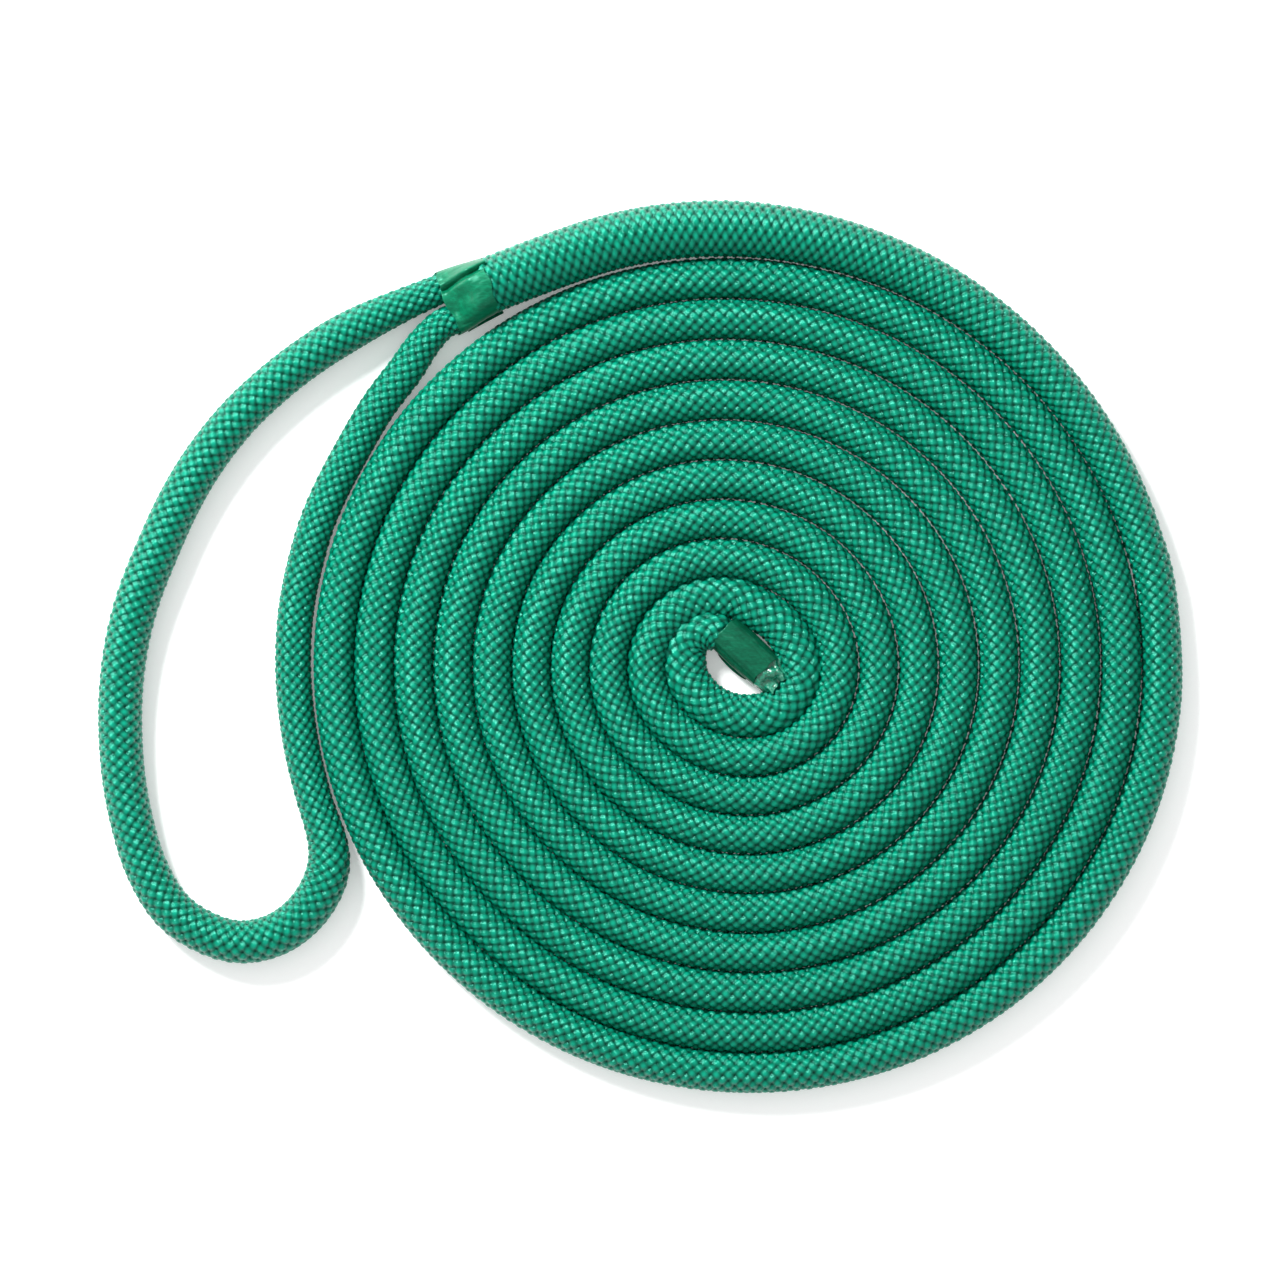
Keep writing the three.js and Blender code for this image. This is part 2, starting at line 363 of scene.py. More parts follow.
def split_quads(pick, here, there, ahead, ahead_there):
    """Two triangles for each quad, cut along the diagonal that pick chooses: all the lower ones first."""
    lower = np.where(pick, np.stack([here, ahead_there, there], 2), np.stack([here, ahead, there], 2))
    upper = np.where(
        pick, np.stack([here, ahead, ahead_there], 2), np.stack([there, ahead, ahead_there], 2)
    )
    return np.stack([lower, upper])


def rows_of_tube(at, base_ring, rings, around, rows):
    """Flat coordinates for the whole tube: its length is cut into rows that fill a square side by side."""
    per_row = math.ceil(rings / rows)
    row = base_ring // per_row
    along = (at[:, 1] - row * per_row) / per_row
    across = (row + ROW_FILL * at[:, 0] / around) / rows
    return np.column_stack([along, across])


def with_end_caps(vertices, faces):
    """Closes both ends of a tube with a fan on its own ring of vertices."""
    rings, around, _ = vertices.shape
    j = np.arange(around)
    points, cap_faces = [vertices.reshape(-1, 3)], []
    first = rings * around
    for ring, turned in ((0, False), (rings - 1, True)):
        rim, centre = first + j, np.full(around, first + around)
        following = first + (j + 1) % around
        cap = np.column_stack([rim, following, centre] if not turned else [following, rim, centre])
        points += [vertices[ring], vertices[ring].mean(0)[None]]
        cap_faces.append(cap)
        first += around + 1
    return np.concatenate(points), np.concatenate([faces, *cap_faces])


# Materials


def new_material(name):
    material = bpy.data.materials.new(name)
    material.use_nodes = True
    material.node_tree.nodes.clear()
    return material


class Nodes:
    """Short ways to add and join shader nodes."""

    def __init__(self, tree):
        self.tree = tree

    def add(self, kind, **settings):
        node = self.tree.nodes.new(kind)
        for key, value in settings.items():
            setattr(node, key, value)
        return node

    def put(self, value, socket):
        if isinstance(value, bpy.types.NodeSocket):
            self.tree.links.new(value, socket)
        else:
            socket.default_value = value

    def math(self, operation, *values):
        node = self.add("ShaderNodeMath", operation=operation)
        for value, socket in zip(values, node.inputs):
            self.put(value, socket)
        return node.outputs[0]

    def ramp(self, value, *stops):
        node = self.add("ShaderNodeValToRGB")
        elements = node.color_ramp.elements
        while len(elements) < len(stops):
            elements.new(0.5)
        for element, (position, colour) in zip(elements, stops):
            element.position = position
            element.color = (*colour, 1)
        self.put(value, node.inputs[0])
        return node.outputs[0]

    def remap(self, value, low, high, to_low, to_high):
        node = self.add("ShaderNodeMapRange")
        for x, socket in zip((value, low, high, to_low, to_high), node.inputs):
            self.put(x, socket)
        return node.outputs[0]

    def mix(self, factor, a, b, blend="MIX"):
        node = self.add("ShaderNodeMix", data_type="RGBA", blend_type=blend)
        self.put(factor, node.inputs["Factor"])
        self.put(a, node.inputs[6])
        self.put(b, node.inputs[7])
        return node.outputs[2]

    def noise(self, vector, scale, detail=2.0):
        node = self.add("ShaderNodeTexNoise")
        self.put(vector, node.inputs["Vector"])
        node.inputs["Scale"].default_value = scale
        node.inputs["Detail"].default_value = detail
        return node.outputs["Fac"]

    def bump(self, height, strength, distance):
        node = self.add("ShaderNodeBump")
        node.inputs["Strength"].default_value = strength
        node.inputs["Distance"].default_value = distance
        self.put(height, node.inputs["Height"])
        return node.outputs["Normal"]


def rgb(red, green, blue):
    """An sRGB colour, 0 to 255, as linear numbers."""
    parts = (red, green, blue)
    return tuple(((c / 255 + 0.055) / 1.055) ** 2.4 if c > 10 else c / 255 / 12.92 for c in parts)


def braid_material(name, shade, body, light, roughness):
    """Woven nylon: the two sets of strands, their yarns and fine filaments, from the weave coordinates.
    Its colour is painted shade in the gaps and painted light on the crowns.
    """
    material = new_material(name)
    n = Nodes(material.node_tree)
    uv = n.add("ShaderNodeUVMap", uv_map="weave").outputs[0]
    parts = n.add("ShaderNodeSeparateXYZ")
    n.put(uv, parts.inputs[0])
    a, b = parts.outputs[0], parts.outputs[1]
    round_a, round_b = n.math("ROUND", a), n.math("ROUND", b)

    def strand(own, rounded, other_phase, sign):
        """Height of one set's strands, and how close each point is to the middle of a yarn."""
        offset = n.math("ABSOLUTE", n.math("SUBTRACT", own, rounded))
        bulge = n.math("COSINE", n.math("MULTIPLY", offset, math.pi))
        rise = n.math("COSINE", n.math("MULTIPLY", other_phase, math.pi))
        yarn = n.math("SINE", n.math("MULTIPLY", offset, 2 * math.pi))
        rounded_top = n.math("MULTIPLY", bulge, STRAND_BULGE)
        return n.math("MULTIPLY_ADD", rise, sign * STRAND_RISE, rounded_top), yarn

    first, first_yarns = strand(a, round_a, n.math("ADD", round_a, b), 1)
    second, second_yarns = strand(b, round_b, n.math("ADD", a, round_b), -1)
    on_top = n.math("GREATER_THAN", first, second)
    height = n.math("MAXIMUM", first, second)

    def top_of(x, y):
        below = n.math("MULTIPLY", y, n.math("SUBTRACT", 1, on_top))
        return n.math("ADD", n.math("MULTIPLY", x, on_top), below)

    yarns = top_of(first_yarns, second_yarns)
    lengthwise = top_of(a, b)
    position = n.add("ShaderNodeNewGeometry").outputs["Position"]
    wander = n.noise(position, FILAMENT_GRAIN)
    shifted = n.math("MULTIPLY", wander, FILAMENT_DRIFT)
    lines = n.math("MULTIPLY_ADD", lengthwise, 2 * math.pi * FILAMENTS_A_STRAND, shifted)
    filaments = n.math("MULTIPLY_ADD", n.math("SINE", lines), 0.5, 0.5)

    which = n.add("ShaderNodeCombineXYZ")
    n.put(round_a, which.inputs[0])
    n.put(round_b, which.inputs[1])
    n.put(on_top, which.inputs[2])
    float_tone = n.add("ShaderNodeTexWhiteNoise", noise_dimensions="3D")
    n.put(which.outputs[0], float_tone.inputs["Vector"])
    patch_tone = n.noise(position, PATCH_GRAIN, 3.0)

    # Painted shade and light: the colour is darkest in the gaps between floats and lightest on the crowns,
    # by the relief's height
    colour = n.ramp(height, (0.2, shade), (0.7, body), (1.0, light))
    tone = n.math("MULTIPLY_ADD", float_tone.outputs["Value"], *FLOAT_TONE)
    tone = n.math("MULTIPLY", tone, n.math("MULTIPLY_ADD", patch_tone, *PATCH_TONE))
    tone = n.math("MULTIPLY", tone, n.math("MULTIPLY_ADD", filaments, *FILAMENT_TONE))
    grey = n.add("ShaderNodeCombineColor")
    for socket in grey.inputs[:3]:
        n.put(tone, socket)
    colour = n.mix(1.0, colour, grey.outputs[0], "MULTIPLY")

    along_second = n.add("ShaderNodeTangent", direction_type="UV_MAP", uv_map="weave").outputs[0]
    along_first = n.add("ShaderNodeTangent", direction_type="UV_MAP", uv_map="weave_crossed").outputs[0]
    along_yarn = n.add("ShaderNodeMix", data_type="VECTOR")
    n.put(on_top, along_yarn.inputs["Factor"])
    n.put(along_second, along_yarn.inputs[4])
    n.put(along_first, along_yarn.inputs[5])

    relief = n.math("MULTIPLY_ADD", yarns, 0.20, n.math("MULTIPLY", height, 0.60))
    relief = n.math("MULTIPLY_ADD", filaments, 0.07, relief)
    shader = n.add("ShaderNodeBsdfPrincipled")
    n.put(colour, shader.inputs["Base Color"])
    rough = n.math("MULTIPLY_ADD", filaments, -0.08, roughness + 0.04)
    n.put(n.math("MULTIPLY_ADD", height, -0.06, rough), shader.inputs["Roughness"])
    shader.inputs["Specular IOR Level"].default_value = 0.6
    shader.inputs["Specular Tint"].default_value = (*rgb(125, 255, 228), 1)
    shader.inputs["Anisotropic"].default_value = 0.8
    shader.inputs["Anisotropic Rotation"].default_value = 0.25
    n.put(along_yarn.outputs[1], shader.inputs["Tangent"])
    n.put(n.bump(relief, 0.7, 0.0008), shader.inputs["Normal"])
    n.put(shader.outputs[0], n.add("ShaderNodeOutputMaterial").inputs["Surface"])
    return material


# The three colours: painted shade for the gaps, the cover's own green, and painted light for the crowns
cover_material = braid_material(
    "cover_braid", rgb(0, 46, 31), rgb(0, 98, 75), rgb(3, 126, 100), roughness=0.3
)


def floor_material():
    """A white table with a little light of its own, which keeps the shadows pale."""
    material = new_material("floor")
    n = Nodes(material.node_tree)
    shader = n.add("ShaderNodeBsdfPrincipled")
    shader.inputs["Base Color"].default_value = (FLOOR_TONE, FLOOR_TONE, FLOOR_TONE, 1)
    shader.inputs["Roughness"].default_value = 0.9
    shader.inputs["Specular IOR Level"].default_value = 0.1
    shader.inputs["Emission Color"].default_value = (1, 1, 1, 1)
    shader.inputs["Emission Strength"].default_value = FLOOR_GLOW
    n.put(shader.outputs[0], n.add("ShaderNodeOutputMaterial").inputs["Surface"])
    return material


# The cords


def radius_between(pairs, share):
    """A radius that changes smoothly between listed (share, radius) pairs."""
    radius = np.full(np.shape(share), pairs[0][1], float)
    for (start, before), (end, after) in zip(pairs, pairs[1:]):
        radius = np.where(share >= start, lerp(before, after, smoothstep(share, start, end)), radius)
    return radius


def slow_twist(s, turns_a_metre, phase):
    """Braided rope is never laid without a little twist."""
    wander = sum(
        angle * np.sin(2 * np.pi * s / length + times * phase) for angle, length, times in TWIST_WANDER
    )
    return phase + 2 * np.pi * turns_a_metre * s + wander


def add_eye():
    route = eye_route
    tuck = EYE_TUCK / route.length

    def radius_at(s):
        return radius_between(EYE_RADII, np.clip((s / route.length - tuck) / (1 - 2 * tuck), 0, 1))

    obj, path = braided_rope(
        "eye",
        route,
        radius_at,
        lambda s: np.full(np.shape(s), EYE_PICK),
        lambda s: np.zeros(np.shape(s)),
        lambda s: np.ones(np.shape(s)),
        lambda s: slow_twist(s, *EYE_TWIST),
        cover_material,
    )
    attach(obj, BODY)
    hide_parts("eye_cover")


def add_standing():
    route = standing_route
    splice_end = route.nearest(coil_point(SPLICE_END, SPLICE_END))
    coil_end = route.nearest(LAST_TURN[0])
    bend = route.nearest(LAST_TURN[TIGHT_BEND])
    taped = route.nearest(END_START)

    def turns_at(s):
        return SPLICE_START + (SPLICE_END - SPLICE_START) * np.asarray(s) / splice_end

    def radius_at(s):
        coiled = np.clip((s - splice_end) / (coil_end - splice_end), 0, 1)
        lane = lerp(SPLICE_END, LAST_COILED_TURN, coiled)
        packed = (TURN_PITCH - 2 * PITCH_LOSS * lane) / 2 + TURN_SQUEEZE
        pressed = smoothstep(s, splice_end, splice_end + SPLICE_BLEND)
        settled = lerp(ROPE_RADIUS + TURN_SQUEEZE, packed, pressed)
        covered = smoothstep(s, taped - SLEEVE_BLEND, taped + SLEEVE_BLEND)
        settled = lerp(settled, UNDER_SLEEVE_RADIUS, covered)
        splice = np.minimum(splice_radius(turns_at(s)) + FIT_GAP + TURN_SQUEEZE, under_band(s))
        return np.where(s < splice_end, splice, settled)

    def under_band(s):
        narrow = lerp(CROTCH_RADIUS, UNDER_BAND_RADIUS, smoothstep(s, 0, CROTCH_SHARE * BAND_LENGTH))
        start, end = (share * BAND_LENGTH for share in SWELL_SHARES)
        return lerp(narrow, SPLICE_RADIUS, smoothstep(s, start, end))

    def pick_at(s):
        start, end = (share * splice_end for share in PICK_SHARES)
        return lerp(SPLICE_PICK, COIL_PICK, smoothstep(s, start, end))

    def lift_at(s):
        return (BAND_WALL + FIT_GAP) * (1 - smoothstep(s, BAND_LENGTH, LOWERED_AFTER * BAND_LENGTH))

    def widen_at(s):
        start = bend - LAST_TURN_LENGTH
        loop = smoothstep(s, start, start + LAST_TURN_BLEND) * (1 - smoothstep(s, bend, taped))
        return 1 + LAST_TURN_WIDER * loop + BEND_WIDER * gaussian(s, bend, BEND_SPREAD)

    obj, path = braided_rope(
        "standing_line",
        route,
        radius_at,
        pick_at,
        lift_at,
        widen_at,
        lambda s: slow_twist(s, *LINE_TWIST),
        cover_material,
    )
    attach(obj, BODY)
    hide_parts("splice_cover", "splice_core", "buried_cover_tail", "coil", "end_cover")
    return obj, path


def core_material():
    """The braided core inside: a plain white nylon weave, stretched round each core's own shape."""
    material = new_material("core_braid")
    n = Nodes(material.node_tree)
    position = n.add("ShaderNodeNewGeometry").outputs["Position"]
    parts = n.add("ShaderNodeSeparateXYZ")
    n.put(position, parts.inputs[0])
    phase = 2 * math.pi / CORE_PICK
    waves = [
        n.math("SINE", n.math("MULTIPLY", n.math(way, parts.outputs[0], parts.outputs[1]), phase))
        for way in ("ADD", "SUBTRACT")
    ]
    weave = n.math("MULTIPLY_ADD", n.math("MULTIPLY", *waves), 0.5, 0.5)
    soil = n.noise(position, 300.0, 3.0)
    tone = n.math("MULTIPLY_ADD", soil, 0.4, n.math("MULTIPLY", weave, 0.6))
    colour = n.ramp(tone, (0.1, rgb(150, 148, 138)), (0.5, rgb(214, 212, 203)), (0.9, rgb(238, 237, 230)))
    shader = n.add("ShaderNodeBsdfPrincipled")
    n.put(colour, shader.inputs["Base Color"])
    n.put(n.remap(soil, 0.3, 0.7, 0.55, 0.75), shader.inputs["Roughness"])
    shader.inputs["Sheen Weight"].default_value = 0.1
    n.put(n.bump(weave, 0.6, 0.0006), shader.inputs["Normal"])
    n.put(shader.outputs[0], n.add("ShaderNodeOutputMaterial").inputs["Surface"])
    return material


def finish_hidden_solids():
    """The core keeps its shape inside the eye and the taped end, in a woven material."""
    core = core_material()
    for name in ("eye_core", "end_core"):
        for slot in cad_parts[name].material_slots:
            slot.material = core


add_eye()
standing_line, standing_path = add_standing()


# The tape at the throat and at the bitter end


def tape_material(name, shade, body, light, axis):
    """Satin tape: fine streaks along its length, and a slow change of tone."""
    material = new_material(name)
    n = Nodes(material.node_tree)
    position = n.add("ShaderNodeNewGeometry").outputs["Position"]
    turned = n.add("ShaderNodeMapping", vector_type="POINT")
    n.put(position, turned.inputs["Vector"])
    turned.inputs["Rotation"].default_value = (0, 0, -axis)
    turned.inputs["Scale"].default_value = (0.10, 1, 1)
    streaks = n.noise(turned.outputs[0], 3600.0, 3.0)
    broad = n.noise(turned.outputs[0], 700.0, 2.0)
    mottle = n.noise(position, 160.0, 2.0)
    tone = n.math("MULTIPLY_ADD", streaks, 0.6, n.math("MULTIPLY", broad, 0.4))
    colour = n.ramp(tone, (0.25, shade), (0.5, body), (0.75, light))
    colour = n.mix(n.remap(mottle, 0.4, 0.7, 0.0, 0.35), colour, (*shade, 1))
    shader = n.add("ShaderNodeBsdfPrincipled")
    n.put(colour, shader.inputs["Base Color"])
    n.put(n.remap(streaks, 0.3, 0.7, 0.34, 0.46), shader.inputs["Roughness"])
    shader.inputs["Specular IOR Level"].default_value = 0.5
    shader.inputs["Specular Tint"].default_value = (*rgb(150, 255, 225), 1)
    height = n.math("MULTIPLY_ADD", broad, 0.7, n.math("MULTIPLY", streaks, 0.3))
    n.put(n.bump(height, 0.35, 0.00022), shader.inputs["Normal"])
    n.put(shader.outputs[0], n.add("ShaderNodeOutputMaterial").inputs["Surface"])
    return material


def sheet_solid(name, outer, inner, material):
    """A closed wrap from two grids of points, (along, around, 3), each closed on itself around."""
    rows, around, _ = outer.shape
    i, j = np.arange(rows - 1)[:, None], np.arange(around)[None, :]
    here, there = i * around + j, i * around + (j + 1) % around
    shell = np.stack([here, here + around, there + around, there], 2).reshape(-1, 4)
    base = rows * around
    inside = base + shell[:, ::-1]
    rim = []
    for row, turned in ((0, False), (rows - 1, True)):
        a, b = row * around + np.arange(around), row * around + (np.arange(around) + 1) % around
        quad = [a, b, base + b, base + a]
        rim.append(np.column_stack(quad[::-1] if turned else quad))
    vertices = np.concatenate([outer.reshape(-1, 3), inner.reshape(-1, 3)])
    return new_object(name, vertices, np.concatenate([shell, inside, *rim]), material)


def strip(name, edge_in, edge_out, thickness, material):
    """A thin closed strip between two lines of points, such as a tape's free edge."""
    count = len(edge_in)
    drop = np.array([0, 0, thickness])
    ring = np.stack([edge_in, edge_out, edge_out - drop, edge_in - drop], 1)
    i, j = np.arange(count - 1)[:, None], np.arange(4)[None, :]
    here, there = i * 4 + j, i * 4 + (j + 1) % 4
    faces = np.stack([here, there, there + 4, here + 4], 2).reshape(-1, 4)
    last = (count - 1) * 4
    ends = np.array([[3, 2, 1, 0], [last, last + 1, last + 2, last + 3]])
    return new_object(name, ring.reshape(-1, 3), np.concatenate([faces, ends]), material, smooth=False)


def join(objects):
    """Joins several objects of one piece into the first."""
    bpy.ops.object.select_all(action="DESELECT")
    for obj in objects:
        obj.select_set(True)
    bpy.context.view_layer.objects.active = objects[0]
    bpy.ops.object.join()
    bpy.ops.object.select_all(action="DESELECT")
    return objects[0]


THROAT = np.array(splice_point(SPLICE_START))
THROAT_ALONG = splice_direction()
THROAT_ACROSS = np.array([-THROAT_ALONG[1], THROAT_ALONG[0]])

# The band, with lengths along and across the throat. It is squarer where the two legs lie side by side
BAND_RINGS, BAND_SIDES = 61, 180
BAND_FROM, BAND_TO = -0.0020, 0.0162
BAND_HALF_WIDTHS = (0.0131, 0.0113)
BAND_HALF_HEIGHTS = (0.0074, 0.0122)
BAND_SQUARENESS = (2.5, 2.0)
BAND_PINCH = 0.0004
BAND_REST = 0.0002
TAPE_THICKNESS = 0.0005
TAPE_CENTRE_LIFT = 0.0008
TAPE_CENTRE_TILT = 0.8
UPPER_LOBE_LENGTH = 0.0016
UPPER_LOBE_EDGE = (0.0045, 0.0075)

# The crease between the two legs and the lip beside it, as (depth, distance from the crease, width)
CREASE_FROM, CREASE_TO = 0.0048, 0.0069
CREASE = (0.0026, 0.0, 0.0010)
CREASE_LIP = (-0.0008, 0.0022, 0.0011)

# Dents, and swellings below zero, as (depth, across, its width, along, its width)
BAND_DENTS = [
    (0.0022, -0.0010, 0.0034, 0.0050, 0.0050),
    (0.0012, -0.0046, 0.0026, 0.0000, 0.0030),
    (-0.0008, -0.0072, 0.0026, 0.0108, 0.0040),
    (0.0006, -0.0105, 0.0008, 0.0060, 0.0050),
]

# Waves round an edge or a wrap, as (height, how many round, how far they turn along it, phase)
BAND_EDGE = [(0.0006, 3, 0, 0.4), (0.0004, 7, 0, 0)]
SLEEVE_EDGE = [(0.0005, 2, 0, 1), (0.0003, 5, 0, 0)]
SLEEVE_GATHERS = [(0.00010, 9, 2, 0), (0.00006, 23, -3, 0)]
TIP_FOLDS = [(0.0007, 5, 4, 0), (0.0004, 11, -7, 0), (0.0004, 3, 9, 0)]
TIP_EDGE = [(0.0005, 3, 0, 0)]

# The band's free edge along its outer side
BAND_HEM_FROM, BAND_HEM_TO = 0.0012, 0.0168
BAND_HEM_SIDES = (0.0131, 0.0117)
BAND_HEM_WIDTH = 0.0022
BAND_HEM_RISE, BAND_HEM_ARCH, BAND_HEM_LIP = 0.0042, 0.0012, 0.0006
BAND_HEM_STEPS = 24
HEM_THICKNESS = 0.0004

# The tape's fabric, as (height, waves across in radians a metre), and how it wanders along
FABRIC = (0.00004, 2400)
FINE_FABRIC = (0.00003, 5200)
FABRIC_WANDER = (3, 300)


def throat_point(along, across, z):
    xy = THROAT + along[..., None] * THROAT_ALONG + across[..., None] * THROAT_ACROSS
    return np.concatenate([xy, z[..., None]], -1)


def waves(table, theta, share=0.0):
    """The sum of a table of waves at the angles theta and the shares of the length."""
    return sum(
        height * np.sin(count * theta + turn * share + phase) for height, count, turn, phase in table
    )


def band_dents(across, along, share):
    """How far the tape on top sinks between and beside the two legs."""
    middle = lerp(CREASE_FROM, CREASE_TO, share)
    (deep, aside, width), (lip_deep, lip_aside, lip_width) = CREASE, CREASE_LIP
    dents = deep * gaussian(across, middle + aside, width) * smoothstep(share, -0.1, 0.15)
    dents += lip_deep * gaussian(across, middle + lip_aside, lip_width)
    for depth, x, x_width, y, y_width in BAND_DENTS:
        dents += depth * gaussian(across, x, x_width) * gaussian(along, y, y_width)
    (height, wave), (fine_height, fine_wave), (wander, wander_wave) = FABRIC, FINE_FABRIC, FABRIC_WANDER
    fabric = height * np.sin(across * wave + wander * np.sin(along * wander_wave))
    return dents + (fabric + fine_height * np.sin(across * fine_wave))


def band_wrap():
    share = np.linspace(0, 1, BAND_RINGS)[:, None]
    theta = np.linspace(0, 2 * math.pi, BAND_SIDES, endpoint=False)[None, :]
    pinch = BAND_PINCH * smoothstep(share, 0.8, 1)
    wide = lerp(*BAND_HALF_WIDTHS, smoothstep(share, 0, 0.9)) - pinch
    high = lerp(*BAND_HALF_HEIGHTS, smoothstep(share, 0.05, 0.65)) - pinch
    power = 2 / lerp(*BAND_SQUARENESS, share)
    cos, sin = np.cos(theta), np.sin(theta)
    across = wide * np.sign(cos) * np.abs(cos) ** power
    z = high * np.sign(sin) * np.abs(sin) ** power
    edge = waves(BAND_EDGE, theta)
    upper_lobe = smoothstep(across, *UPPER_LOBE_EDGE)
    along = lerp(BAND_FROM + edge, BAND_TO + UPPER_LOBE_LENGTH * upper_lobe - edge, share)

    z = z - band_dents(across, along, share) * smoothstep(sin, 0.0, 0.35)
    z += high + BAND_REST + pinch
    outer = throat_point(along, across, z)
    middle = throat_point(along, across * 0, z * 0 + high + TAPE_CENTRE_LIFT)
    towards = middle - outer
    towards[..., 2] *= TAPE_CENTRE_TILT
    inner = outer + towards / np.linalg.norm(towards, axis=-1)[..., None] * TAPE_THICKNESS
    return sheet_solid("throat_tape", outer, inner, band_material)


def band_hem():
    along = np.linspace(BAND_HEM_FROM, BAND_HEM_TO, BAND_HEM_STEPS)
    rise = BAND_HEM_RISE + BAND_HEM_ARCH * np.sin(np.linspace(0, math.pi, BAND_HEM_STEPS))
    side = -lerp(*BAND_HEM_SIDES, np.linspace(0, 1, BAND_HEM_STEPS))
    tucked = throat_point(along, side + BAND_HEM_WIDTH, rise)
    free = throat_point(along, side, rise + BAND_HEM_LIP)
    return strip("hem", tucked, free, HEM_THICKNESS, band_material)


def add_throat_band():
    band = join([band_wrap(), band_hem()])
    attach(band, BODY)
    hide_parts("throat_band")
    return band


END_ALONG = (END_TIP - END_START) / np.linalg.norm(END_TIP - END_START)
END_ACROSS = np.array([-END_ALONG[1], END_ALONG[0]])
END_LENGTH = float(np.linalg.norm(END_TIP - END_START))
SLEEVE_RINGS, SLEEVE_SIDES = 61, 144
SLEEVE_RADIUS = 0.0075
SLEEVE_SHIFT = 0.0010
SLEEVE_OVERHANG = 0.0008
SLEEVE_SWELL = 0.0003
SLEEVE_CREASE = 0.00035
SLEEVE_BORE = 0.94
SLEEVE_HEM_FROM, SLEEVE_HEM_TO = 0.0040, 0.0190
SLEEVE_HEM_RISE, SLEEVE_HEM_ARCH, SLEEVE_HEM_LIP = 0.0034, 0.0008, 0.0009
SLEEVE_HEM_STEPS = 20
SLEEVE_HEM_TUCK = 0.0056
SLEEVE_HEM_REACH, SLEEVE_HEM_BOW = 0.0078, 0.0010

# The melted tip. Its last fifth is the blunt face
TIP_RINGS, TIP_SIDES = 40, 120
TIP_INSET = 0.0002
TIP_FLARE = 0.0004
TIP_FACE = 0.8
TIP_OVERLAP = 0.0006
TIP_HOLLOW = 0.0012
TIP_FLATNESS = 0.92
TIP_CRUMPLE = 0.0006
TIP_CRUMPLE_GRAIN = 420


def end_point(along, across, z):
    xy = END_START + along[..., None] * END_ALONG + (across + SLEEVE_SHIFT)[..., None] * END_ACROSS
    return np.concatenate([xy, z[..., None]], -1)


def sleeve_wrap():
    share = np.linspace(0, 1, SLEEVE_RINGS)[:, None]
    theta = np.linspace(0, 2 * math.pi, SLEEVE_SIDES, endpoint=False)[None, :]
    edge = waves(SLEEVE_EDGE, theta)
    along = lerp(edge - SLEEVE_OVERHANG, END_LENGTH - TIP_LENGTH + edge, share)
    swell = SLEEVE_SWELL * np.sin(math.pi * share) + waves(SLEEVE_GATHERS, theta, share)
    creases = SLEEVE_CREASE * gaussian(np.sin(theta / 2 + 0.8 * share), 0.75, 0.06)
    radius = SLEEVE_RADIUS + swell - creases
    outer, inner = (
        end_point(along, r * np.cos(theta), r * np.sin(theta) + ROPE_RADIUS)
        for r in (radius, SLEEVE_BORE * radius)
    )
    return sheet_solid("end_sleeve", outer, inner, sleeve_material)


def sleeve_hem():
    along = np.linspace(SLEEVE_HEM_FROM, SLEEVE_HEM_TO, SLEEVE_HEM_STEPS)
    bow = np.sin(math.pi * np.linspace(0, 1, SLEEVE_HEM_STEPS))
    rise = SLEEVE_HEM_RISE + SLEEVE_HEM_ARCH * bow
    reach = -(SLEEVE_HEM_REACH + SLEEVE_HEM_BOW * bow**0.7)
    tucked = end_point(along, 0 * reach - SLEEVE_HEM_TUCK, rise)
    free = end_point(along, reach, rise + SLEEVE_HEM_LIP)
    return strip("hem", tucked, free, HEM_THICKNESS, sleeve_material)


def add_end_sleeve():
    sleeve = join([sleeve_wrap(), sleeve_hem()])
    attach(sleeve, BODY)
    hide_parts("end_whipping")
    return sleeve


def melted_material():
    """Nylon fused by heat: glossy, its colour clouded at random with pale green-white."""
    material = new_material("melted_nylon")
    n = Nodes(material.node_tree)
    position = n.add("ShaderNodeNewGeometry").outputs["Position"]
    clouds = n.noise(position, 420.0, 4.0)
    grain = n.noise(position, 1500.0, 3.0)
    mixed = n.math("MULTIPLY_ADD", grain, 0.35, n.math("MULTIPLY", clouds, 0.65))
    colour = n.ramp(mixed, (0.42, rgb(0, 80, 58)), (0.56, rgb(8, 122, 94)), (0.74, rgb(118, 188, 166)))
    shader = n.add("ShaderNodeBsdfPrincipled")
    n.put(colour, shader.inputs["Base Color"])
    n.put(n.remap(grain, 0.3, 0.7, 0.12, 0.30), shader.inputs["Roughness"])
    shader.inputs["Coat Weight"].default_value = 0.6
    shader.inputs["Coat Roughness"].default_value = 0.12
    n.put(n.bump(mixed, 0.8, 0.0009), shader.inputs["Normal"])
    n.put(shader.outputs[0], n.add("ShaderNodeOutputMaterial").inputs["Surface"])
    return material


def tip_points():
    """Points of the crumpled tip. Blender's vector noise isn't seeded here, so the finest folds differ a
    little from run to run."""
    share = np.linspace(0, 1, TIP_RINGS)[:, None]
    theta = np.linspace(0, 2 * math.pi, TIP_SIDES, endpoint=False)[None, :]
    body = np.minimum(share / TIP_FACE, 1)
    face = np.clip((share - TIP_FACE) / (1 - TIP_FACE), 0, 1)
    along = END_LENGTH - TIP_LENGTH - TIP_OVERLAP + body * (TIP_LENGTH + TIP_OVERLAP) + 0 * theta
    along = along - TIP_HOLLOW * smoothstep(face, 0.3, 1)
    along = along + waves(TIP_EDGE, theta) * smoothstep(share, 0.5, 0.8)
    radius = lerp(SLEEVE_RADIUS - TIP_INSET, TIP_END_RADIUS + TIP_FLARE, smoothstep(body, 0.1, 1))
    radius = radius * (1 - face**1.5)
    radius = radius + waves(TIP_FOLDS, theta, share) * smoothstep(share, 0, 0.3) * (1 - face)
    points = end_point(along, radius * np.cos(theta), TIP_FLATNESS * radius * np.sin(theta) + ROPE_RADIUS)
    for point in points.reshape(-1, 3):
        point += noise.noise_vector(Vector(point) * TIP_CRUMPLE_GRAIN) * TIP_CRUMPLE
    return points.reshape(-1, 3)


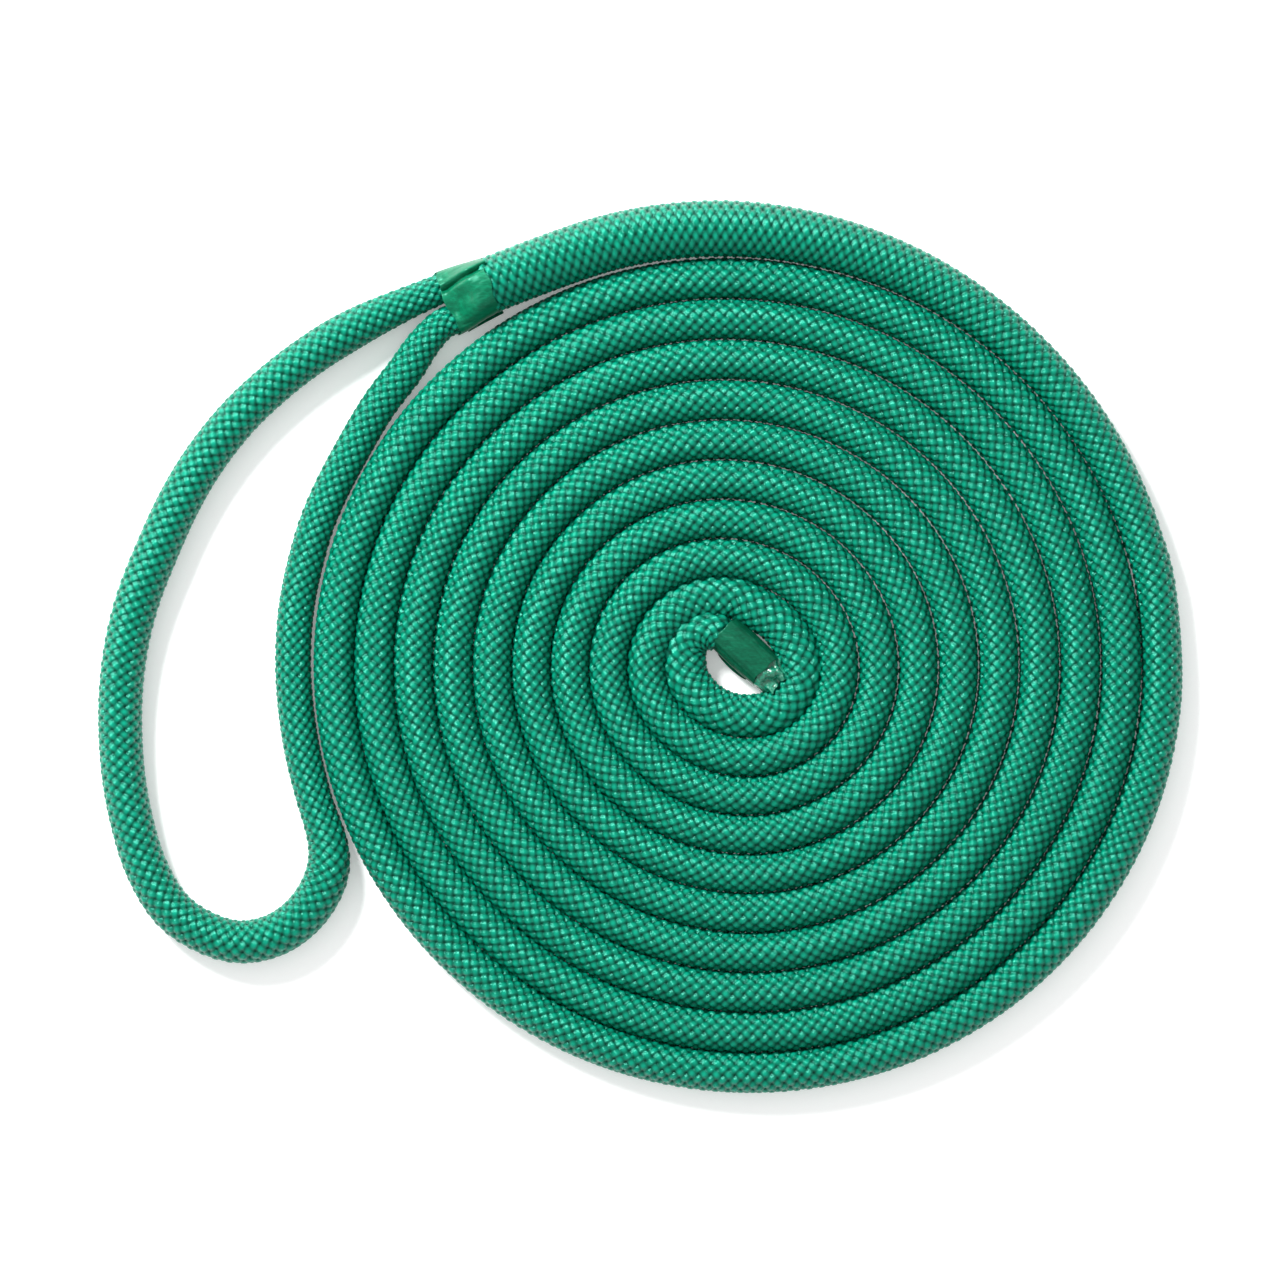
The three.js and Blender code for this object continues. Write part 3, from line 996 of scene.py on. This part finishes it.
def tip_faces():
    rows, around = TIP_RINGS, TIP_SIDES
    i, j = np.arange(rows - 1)[:, None], np.arange(around)[None, :]
    here, there = i * around + j, i * around + (j + 1) % around
    walls = np.stack([here, here + around, there + around, there], 2).reshape(-1, 4)
    ends = [tuple(range(around)), tuple(range((rows - 1) * around, rows * around))[::-1]]
    return [*map(tuple, walls.tolist()), *ends]


def add_melted_tip():
    """The fused end of cover and core: a crumpled stub that narrows to a blunt, creased face."""
    mesh = bpy.data.meshes.new("melted_tip")
    mesh.from_pydata(tip_points().tolist(), [], tip_faces())
    mesh.polygons.foreach_set("use_smooth", np.full(len(mesh.polygons), True))
    mesh.materials.append(melted_material())
    tip = bpy.data.objects.new("melted_tip_nylon", mesh)
    bpy.context.collection.objects.link(tip)
    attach(tip, BODY)
    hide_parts("melted_tip")
    return tip


band_material = tape_material(
    "throat_tape", rgb(0, 58, 36), rgb(0, 92, 62), rgb(4, 122, 86), math.atan2(*THROAT_ALONG[::-1])
)
sleeve_material = tape_material(
    "end_tape", rgb(0, 42, 26), rgb(0, 70, 46), rgb(2, 94, 66), math.atan2(*END_ALONG[::-1])
)
add_throat_band()
add_end_sleeve()
add_melted_tip()
finish_hidden_solids()


# Floor and light


def add_floor():
    size = FLOOR_SIZE
    corners = np.array([(-size, -size, 0), (size, -size, 0), (size, size, 0), (-size, size, 0)])
    floor = new_object("floor", corners, np.array([[0, 1, 2, 3]]), floor_material())


def add_area_light(name, location, size, power):
    data = bpy.data.lights.new(name, "AREA")
    data.shape = "DISK"
    data.size = size
    data.energy = power
    lamp = bpy.data.objects.new(name, data)
    lamp.location = location
    lamp.rotation_mode = "QUATERNION"
    lamp.rotation_quaternion = (-lamp.location).to_track_quat("-Z", "Y")
    bpy.context.collection.objects.link(lamp)


def add_world():
    world = bpy.data.worlds.new("world")
    world.use_nodes = True
    background = world.node_tree.nodes["Background"]
    background.inputs["Color"].default_value = (1, 1, 1, 1)
    background.inputs["Strength"].default_value = SKY_STRENGTH
    bpy.context.scene.world = world


add_floor()
add_world()
add_area_light("key", KEY_LIGHT, KEY_SIZE, KEY_POWER)
bpy.context.scene.view_settings.view_transform = "Standard"
